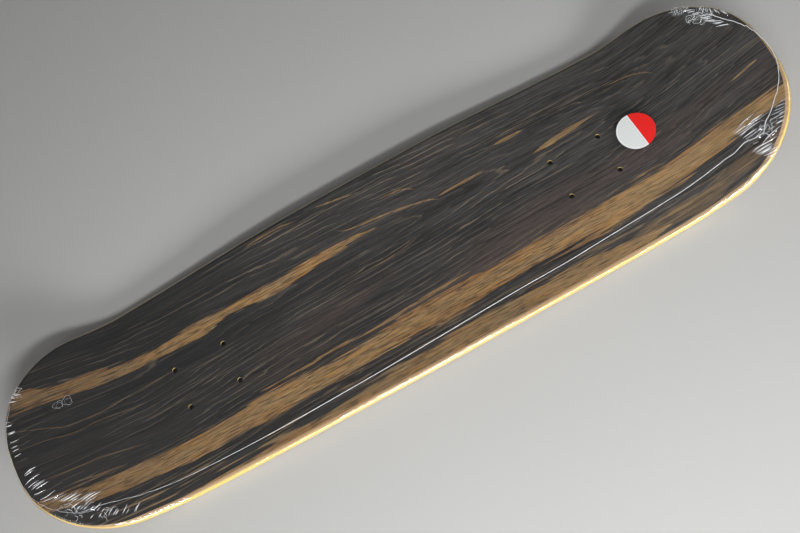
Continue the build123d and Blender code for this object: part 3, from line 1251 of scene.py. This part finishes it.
@dataclass
class ShrinkFilm:
    """The clear film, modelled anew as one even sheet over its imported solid."""

    solid: Piece
    even: float = 5.0 * MM
    thickness: float = 0.2 * MM
    merge: float = 0.01 * MM
    bend_limit: float = math.radians(9.0)
    gather_margin: float = 1.5
    gather_past: float = 0.1
    gather_levels: int = 3
    finest: float = 0.7 * MM
    upper_side: float = 0.25
    side_fade: float = 2.5
    full_gather: float = 1.0 * MM
    crush_size: float = 3.4 * MM
    crush_drawn: float = 0.6
    crush_finer: float = 2.1
    crush_rim: float = 2.0
    facet_share: float = 0.7
    finer_share: float = 0.5
    foot_play: Pair = (0.1, 0.9)
    way_play: Pair = (-0.2, 0.2)
    height_play: Pair = (0.5, 1.0)
    width_play: Pair = (0.8, 1.2)
    fold_height: float = 0.7 * MM
    fold_width: float = 1.1 * MM
    vent_middle: Pair = (-2.0 * MM, 0.0)
    vent_radius: float = 3.0 * MM
    flat_size: Pair = (0.445, 0.86)
    seed: int = 7

    def outer_skin(self) -> Sheet:
        """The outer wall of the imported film, closed over its vent.

        Returns:
            A new bmesh.
        """
        skin = bmesh.new()
        skin.from_mesh(self.solid.data)
        bmesh.ops.remove_doubles(skin, verts=skin.verts, dist=self.merge)
        tree = BVHTree.FromBMesh(skin)
        inner = []
        for face in skin.faces:
            start = face.calc_center_median() + face.normal * self.merge
            if tree.ray_cast(start, face.normal)[0] is not None:
                inner.append(face)
        bmesh.ops.delete(skin, geom=inner, context="FACES")
        bmesh.ops.holes_fill(skin, edges=[e for e in skin.edges if e.is_boundary], sides=0)
        return skin

    def even_sheet(self, skin: Sheet) -> Sheet:
        """The skin again, in even quads.

        Args:
            skin: The outer skin.

        Returns:
            A new bmesh.
        """
        mesh = bpy.data.meshes.new("film_skin")
        skin.to_mesh(mesh)
        rough = new_piece("film_skin", mesh)
        remesh = rough.modifiers.new("even", "REMESH")
        remesh.mode = "VOXEL"
        remesh.voxel_size = self.even
        sheet = bmesh.new()
        sheet.from_mesh(baked_mesh(rough))
        return sheet

    def settle(self, sheet: Sheet, tree: BVHTree) -> None:
        """Lay every point on the skin.

        Args:
            sheet: The sheet.
            tree: The skin's tree.
        """
        for vertex in sheet.verts:
            vertex.co = tree.find_nearest(vertex.co)[0]
        sheet.normal_update()

    def divide(self, sheet: Sheet, tree: BVHTree, wanted: Callable[[Face], bool]) -> None:
        """Halve the faces of one kind, and lay all points on the skin again.

        Args:
            sheet: The sheet.
            tree: The skin's tree.
            wanted: Tells whether a face is to be divided.
        """
        edges = {edge for face in sheet.faces if wanted(face) for edge in face.edges}
        bmesh.ops.subdivide_edges(sheet, edges=list(edges), cuts=1, use_grid_fill=True)
        self.settle(sheet, tree)

    def pleats(self) -> list[Pleat]:
        """Every pleat of every fan, and every single fold.

        Returns:
            The pleats, drawn in a fixed order.
        """
        draw = random.Random(self.seed)
        made = []
        for fan in FANS:
            first, last = (Vector(foot) * MM for foot in fan.feet)
            start, finish = (Vector(way) for way in fan.ways)
            for index in range(fan.count):
                share = (index + draw.uniform(*self.foot_play)) / fan.count
                way = start.lerp(finish, share + draw.uniform(*self.way_play)).normalized()
                run = way * draw.uniform(*fan.length) * MM
                height = fan.height * draw.uniform(*self.height_play) * MM
                width = fan.half_width * draw.uniform(*self.width_play) * MM
                made.append(Pleat(first.lerp(last, share), run, height, width))
        for foot, end in FOLDS:
            start = Vector(foot) * MM
            made.append(Pleat(start, Vector(end) * MM - start, self.fold_height, self.fold_width))
        return made

    def crushed(self, spot: Vector) -> float:
        """How far the crumpled patches lift the film, in flat facets between sharp creases.

        Args:
            spot: A place on the film.

        Returns:
            The lift in metres.
        """
        lift = 0.0
        for patch in CRUMPLES:
            inside = patch.depth_at(spot)
            if inside > 0.0:
                drawn = Vector((spot.x * self.crush_drawn, spot.y, spot.z)) / self.crush_size
                near, second = noise.voronoi(drawn)[0][:2]
                finer = noise.voronoi(drawn * self.crush_finer)[0][0]
                facets = self.facet_share * (second - near) + self.finer_share * finer
                lift += patch.height * MM * min(1.0, inside * self.crush_rim) * facets
        return lift

    def near_gather(self, spot: Vector, pleats: list[Pleat]) -> bool:
        """Whether a place is on a pleat or in a crumpled patch.

        Args:
            spot: A place on the film.
            pleats: The pleats.

        Returns:
            True if the film is finer there.
        """
        if any(patch.depth_at(spot) > -self.gather_past for patch in CRUMPLES):
            return True
        flat = spot.to_2d()
        for pleat in pleats:
            share, side = pleat.place_of(flat)
            if -self.gather_past < share < 1.0 + self.gather_past and side < self.gather_margin:
                return True
        return False

    def gather_up(self, sheet: Sheet, pleats: list[Pleat]) -> list[float]:
        """Lift the pleats and crumples out of the sheet.

        Args:
            sheet: The sheet, with its normals up to date.
            pleats: The pleats.

        Returns:
            How gathered the film is at each point, 0 to 1.
        """
        gathered = []
        moves = []
        for vertex in sheet.verts:
            lift = 0.0
            up = min(1.0, max(0.0, (vertex.normal.z - self.upper_side) * self.side_fade))
            if up > 0.0 and self.near_gather(vertex.co, pleats):
                flat = vertex.co.to_2d()
                lift = max(pleat.height_at(flat) for pleat in pleats) + self.crushed(vertex.co)
            gathered.append(min(1.0, lift / self.full_gather))
            moves.append(vertex.normal * lift * up)
        for vertex, move in zip(sheet.verts, moves):
            vertex.co += move
        return gathered

    def open_vent(self, sheet: Sheet, tree: BVHTree) -> None:
        """Cut the vent into the underside.

        Args:
            sheet: The sheet.
            tree: The skin's tree.
        """
        middle = Vector(self.vent_middle)

        def within(face: Face, reach: float) -> bool:
            """Whether a face of the underside is so near the vent's middle."""
            return face.normal.z < 0.0 and (face.calc_center_median().to_2d() - middle).length < reach

        for _ in range(self.gather_levels):
            self.divide(sheet, tree, lambda face: within(face, self.vent_radius + self.even))
        hole = [face for face in sheet.faces if within(face, self.vent_radius)]
        bmesh.ops.delete(sheet, geom=hole, context="FACES")
        for vertex in sheet.verts:
            if vertex.is_boundary:
                spot = middle + (vertex.co.to_2d() - middle).normalized() * self.vent_radius
                vertex.co.xy = spot

    def build(self, pleats: list[Pleat]) -> tuple[Piece, BVHTree]:
        """Model the film.

        Args:
            pleats: Its pleats.

        Returns:
            The film's object, riding on the deck, and the tree of its gathered sheet.
        """
        skin = self.outer_skin()
        tree = BVHTree.FromBMesh(skin)
        sheet = self.even_sheet(skin)
        self.settle(sheet, tree)

        def bent(face: Face) -> bool:
            """Whether the film turns sharply at an edge of a face."""
            return any(edge.calc_face_angle(0.0) > self.bend_limit for edge in face.edges)

        def coarse_gather(face: Face) -> bool:
            """Whether a face is to be divided for the pleats and crumples."""
            if face.normal.z < self.upper_side or face.calc_area() < self.finest**2:
                return False
            return self.near_gather(face.calc_center_median(), pleats)

        self.divide(sheet, tree, bent)
        for _ in range(self.gather_levels):
            self.divide(sheet, tree, coarse_gather)
        self.open_vent(sheet, tree)
        gathered = self.gather_up(sheet, pleats)
        crest = BVHTree.FromBMesh(sheet)
        for face in sheet.faces:
            face.smooth = True
        mesh = bpy.data.meshes.new("shrink_film_sheet")
        sheet.to_mesh(mesh)
        crinkle = mesh.attributes.new("crinkle", "FLOAT", "POINT")
        crinkle.data.foreach_set("value", gathered)
        film = new_piece("shrink_film_sheet", mesh)
        wall = film.modifiers.new("wall", "SOLIDIFY")
        wall.thickness = self.thickness
        wall.offset = -1.0
        dress(film, ClearFilm().make("film_gloss", True))
        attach(film, "root")
        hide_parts(self.solid.name)
        log.info("film: %d faces, %d pleats", len(mesh.polygons), len(pleats))
        return film, crest


def on_oval(half_size: Pair, turn: float) -> Vector:
    """A point of an oval about the origin, at an angle in radians."""
    return Vector((math.cos(turn) * half_size[0], math.sin(turn) * half_size[1]))


@dataclass
class FilmFoldsAndGlints:
    """White fins on the film's pleats and creases in its crumpled patches: folds, painted white as
    highlights of their glints.

    The steps of a wandering crease are in millimetres and its turns in radians.
    """

    half_width: float = 0.40 * MM
    proud: float = 0.12 * MM
    steps: int = 8
    sky: float = 0.3
    fin_bow: Pair = (-0.06, 0.06)
    fin_size: Pair = (0.3, 1.0)
    fin_tip: float = 0.15
    crease_share: float = 0.34
    patch_per_crease: float = 6.0
    crease_spread: float = 0.8
    crease_heading: Pair = (0.3, 0.7)
    crease_size: Pair = (0.4, 1.0)
    crease_steps: tuple[int, int] = (4, 8)
    crease_turn: Pair = (0.0, 0.55)
    crease_step: Pair = (0.8, 1.6)
    ring_lobes: float = 3.0
    ring_wave: float = 0.18
    seed: int = 11

    def lay(self, crest: BVHTree, flat: Run) -> Run:
        """Drop points in plan onto the film.

        Args:
            crest: The tree of the gathered sheet.
            flat: The points, each with its share of the half width.

        Returns:
            Those over the film, in space.
        """
        down = Vector((0.0, 0.0, -1.0))
        laid = []
        for spot, share in flat:
            found, normal, _, _ = crest.ray_cast(Vector((spot.x, spot.y, self.sky)), down)
            if found is not None:
                laid.append((found + normal * self.proud, share))
        return laid

    def fin(self, pleat: Pleat, draw: random.Random) -> Run:
        """The white crest of a pleat, in plan, a painted glint along its fold.

        Args:
            pleat: The pleat.
            draw: The source of small differences.

        Returns:
            Its points with their shares of the half width.
        """
        side = Vector((-pleat.run.y, pleat.run.x)).normalized()
        bow = draw.uniform(*self.fin_bow) * pleat.run.length
        size = draw.uniform(*self.fin_size)
        points = []
        for step in range(self.steps + 1):
            share = step / self.steps
            swell = math.sin(math.pi * share)
            spot = pleat.foot + pleat.run * share + side * bow * swell
            points.append((spot, size * (self.fin_tip + (1.0 - self.fin_tip) * swell)))
        return points

    def crease(self, patch: Crumple, draw: random.Random) -> Run:
        """One crease that wanders through a crumpled patch, in plan.

        Args:
            patch: The patch.
            draw: The source of its way.

        Returns:
            Its points with their shares of the half width.
        """
        turn = draw.uniform(0.0, math.tau)
        out = math.sqrt(draw.random()) * self.crease_spread
        spot = Vector(patch.middle) + out * on_oval(patch.half_size, turn)
        heading = draw.gauss(*self.crease_heading)
        size = self.crease_share * draw.uniform(*self.crease_size)
        points = []
        for _ in range(draw.randint(*self.crease_steps)):
            points.append((spot * MM, size))
            heading += draw.gauss(*self.crease_turn)
            ahead = Vector((math.cos(heading), math.sin(heading)))
            spot = spot + ahead * draw.uniform(*self.crease_step)
        return points

    def ring(self, loop: Loop, draw: random.Random) -> Run:
        """A round crease, in plan.

        Args:
            loop: The loop.
            draw: The source of small differences.

        Returns:
            Its points with their shares of the half width.
        """
        count = 3 * self.steps
        start = draw.uniform(0.0, math.tau)
        points = []
        for step in range(count):
            turn = start + math.tau * step / count
            wave = 1.0 + self.ring_wave * math.sin(self.ring_lobes * turn + start)
            spot = Vector(loop.middle) + on_oval(loop.half_size, turn) * wave
            points.append((spot * MM, self.crease_share * loop.share))
        return points

    def build(self, crest: BVHTree, pleats: list[Pleat], gloss: Finish) -> Piece:
        """Model the folds on the film, painted white as highlights.

        Args:
            crest: The tree of the gathered sheet.
            pleats: The film's pleats.
            gloss: The white finish of the folds, a painted highlight.

        Returns:
            The folds' object, riding on the deck.
        """
        draw = random.Random(self.seed)
        flat = [self.fin(pleat, draw) for pleat in pleats]
        for patch in CRUMPLES:
            size = patch.half_size[0] * patch.half_size[1] * patch.height
            flat += [self.crease(patch, draw) for _ in range(round(size / self.patch_per_crease))]
        flat += [self.ring(loop, draw) for loop in LOOPS]
        laid = [self.lay(crest, run) for run in flat]
        runs = [run for run in laid if len(run) > 2]
        # Painted highlights: white tubes on the pleats and crumples stand in for the lamps' glints.
        mesh = curve_mesh("film_folds_painted_glints", LineKind.STRAIGHT, runs, self.half_width)
        folds = new_piece("film_folds_painted_glints", mesh)
        dress(folds, gloss)
        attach(folds, "root")
        log.info("folds: %d, %d faces", len(runs), len(mesh.polygons))
        return folds


# The seal's route in millimetres, along the near side and over both tips' rims, where the bead partly stands
# in for their highlight.
SEAL_ROUTE = (
    (373, 62, 51), (379.5, 59, 54), (382, 52, 56), (387, 43, 59), (392.5, 33, 61), (396.8, 22, 63),
    (399.4, 11, 64), (400.3, 0.5, 64.5), (399.7, -10, 64.5), (397.5, -20, 63), (394, -28.5, 62),
    (389, -37, 60), (384, -43, 57), (378, -49, 54), (368, -57, 50), (360, -63, 46), (356, -69, 44),
    (346, -67, 39), (340, -65, 37), (331, -68, 32), (319, -68, 27), (292, -70, 16), (259, -72, 12.3),
    (180, -75, 15), (147, -77.5, 17), (70, -79, 19.7), (-41, -83, 19.8), (-152, -84, 17),
    (-256, -81, 12.3), (-297, -78.5, 19), (-326, -74, 29), (-344, -69.5, 37), (-357, -69, 42),
    (-369, -66, 46), (-377, -60, 48), (-388, -50, 51), (-396, -34, 54), (-400.6, -10, 55),
    (-400.6, 12, 55), (-395.6, 35, 54), (-386, 54, 50),
)


@dataclass
class SealBead:
    """The heat seal: a melted bead along the near side of the film and round both ends of the deck, where it
    is partly a painted rim highlight.
    """

    half_width: float = 0.26 * MM
    proud: float = 0.05 * MM
    wobble: float = 0.6 * MM
    waves_per_metre: float = 140.0
    loose_from: float = 300.0 * MM
    rim_from: float = 374.0 * MM
    stout_from: float = -26.0 * MM
    thin_from: float = 150.0 * MM
    thin_over: float = 150.0 * MM
    # Painted highlight: the bead is stoutest round the nose rim.
    nose_share_and_painted_highlight: float = 1.25
    tail_share: float = 0.42
    seed: int = 5

    def share_at(self, place: Vector) -> float:
        """The bead's share of its half width: stout round the nose, where it is partly a painted rim
        highlight, thin to the tail.

        Args:
            place: The place on the film.

        Returns:
            The share.
        """
        if place.x > self.rim_from and place.y > self.stout_from:
            return self.nose_share_and_painted_highlight
        tailward = min(1.0, max(0.0, (-place.x - self.thin_from) / self.thin_over))
        return 1.0 + (self.tail_share - 1.0) * tailward

    def build(self, crest: BVHTree, gloss: Finish) -> Piece:
        """Model the bead on the film.

        Args:
            crest: The tree of the gathered sheet.
            gloss: The white finish of the bead, partly a painted highlight.

        Returns:
            The bead's object, riding on the deck.
        """
        route = [(Vector(place) * MM, 1.0) for place in SEAL_ROUTE]
        flow = curve_mesh("seal_flow", LineKind.SMOOTH, [route])
        noise.seed_set(self.seed)
        run = []
        for vertex in flow.vertices:
            place = vertex.co
            loose = self.wobble if abs(place.x) > self.loose_from else 0.0
            sway = noise.noise_vector(place * self.waves_per_metre) * loose
            spot, normal, _, _ = crest.find_nearest(place + sway)
            run.append((spot + normal * self.proud, self.share_at(place)))
        mesh = curve_mesh("film_seal", LineKind.STRAIGHT, [run], self.half_width)
        bead = new_piece("film_seal", mesh)
        dress(bead, gloss)
        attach(bead, "root")
        log.info("seal: %d points", len(run))
        return bead


@dataclass(frozen=True)
class Lamp:
    """A soft lamp: its name, place, sides, power and cone. Metres, watts and degrees."""

    name: str
    place: Point
    size: Pair
    power: float
    cone: float = 180.0


LAMPS = (
    Lamp("key_lamp", (-0.08, -0.82, 0.95), (0.60, 0.14), 8.0),
    Lamp("tail_lamp", (-0.75, -0.45, 0.75), (0.30, 0.30), 0.8),
    Lamp("nose_lamp", (1.15, -0.25, 0.60), (0.30, 0.30), 2.0),
    Lamp("rail_lamp", (0.08, -1.15, 0.42), (1.30, 0.28), 4.2, 80.0),
)


def facing(eye: Point, target: Point) -> Quaternion:
    """The turn of a lamp or camera that looks from one place at another."""
    return (Vector(target) - Vector(eye)).to_track_quat("-Z", "Y")


@dataclass
class Studio:
    """The pale floor, soft lamps and the camera of the photograph."""

    floor_radius: float = 6.0
    floor_sides: int = 96
    floor_pale: Colour = (0.52, 0.52, 0.51)
    floor_deep: Colour = (0.47, 0.47, 0.46)
    floor_roughness: Ramp = (0.3, 0.7, 0.8, 0.9)
    world_colour: Colour = (1.0, 1.0, 1.0)
    world_level: float = 0.15
    aim: Point = (0.0, 0.0, 0.02)
    eye: Point = (-9.55 * MM, -288.61 * MM, 851.8 * MM)
    looking_at: Point = (2.64 * MM, 1.8 * MM, 10.9 * MM)
    roll: float = -26.7
    lens: float = 40.89
    sensor: float = 36.0

    def floor(self) -> None:
        """Lay the floor under the deck."""
        ground = bmesh.new()
        bmesh.ops.create_circle(
            ground, cap_ends=True, segments=self.floor_sides, radius=self.floor_radius
        )
        mesh = bpy.data.meshes.new("studio_floor")
        ground.to_mesh(mesh)
        floor = new_piece("studio_floor", mesh)
        made = Material.named("studio_floor")
        cloud = made.graph.grain(made.place(), 1.5, 1.5, 3.0, 0.0)
        made.feed("Base Color", made.graph.blend(cloud, self.floor_pale, self.floor_deep))
        made.feed("Roughness", made.graph.remap(cloud, *self.floor_roughness))
        dress(floor, made.data)

    def hang(self, lamp: Lamp) -> None:
        """Hang a soft lamp that faces the deck.

        Args:
            lamp: What it is and where it hangs.
        """
        data = bpy.data.lights.new(lamp.name, "AREA")
        data.shape = "RECTANGLE"
        data.size, data.size_y = lamp.size
        data.energy = lamp.power
        data.spread = math.radians(lamp.cone)
        hung = new_piece(lamp.name, data)
        hung.location = lamp.place
        hung.rotation_mode = "QUATERNION"
        hung.rotation_quaternion = facing(lamp.place, self.aim)

    def light(self) -> None:
        """Set the world's level and hang the lamps."""
        world = bpy.data.worlds.new("studio_world")
        world.use_nodes = True
        sky = world.node_tree.nodes["Background"]
        sky.inputs["Color"].default_value = (*self.world_colour, 1.0)
        sky.inputs["Strength"].default_value = self.world_level
        bpy.context.scene.world = world
        for lamp in LAMPS:
            self.hang(lamp)

    def camera(self) -> None:
        """Stand the camera where the photograph was taken."""
        data = bpy.data.cameras.new("photo_camera")
        data.lens = self.lens
        data.sensor_width = self.sensor
        camera = new_piece("photo_camera", data)
        camera.location = self.eye
        camera.rotation_mode = "QUATERNION"
        tilt = Quaternion((0.0, 0.0, 1.0), math.radians(self.roll))
        camera.rotation_quaternion = facing(self.eye, self.looking_at) @ tilt
        bpy.context.scene.camera = camera
        bpy.context.scene.view_settings.view_transform = "Standard"


def main() -> None:
    """Dress the deck, wrap it and light it."""
    logging.basicConfig(level=logging.INFO, format="%(name)s: %(message)s")
    PressedDeck().finish()
    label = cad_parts["round_label"]
    dress(label, LabelStock().make(label))
    log.info("dressed %s", label.name)
    film = ShrinkFilm(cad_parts["shrink_film"])
    pleats = film.pleats()
    sheet, crest = film.build(pleats)
    # The bead's and the creases' finish: near-opaque white, partly a painted highlight.
    doubled = ClearFilm().make("seal_white_painted_highlight", False)
    folds = FilmFoldsAndGlints().build(crest, pleats, doubled)
    bead = SealBead().build(crest, doubled)
    studio = Studio()
    studio.floor()
    studio.light()
    studio.camera()


if __name__ == "__main__":
    main()
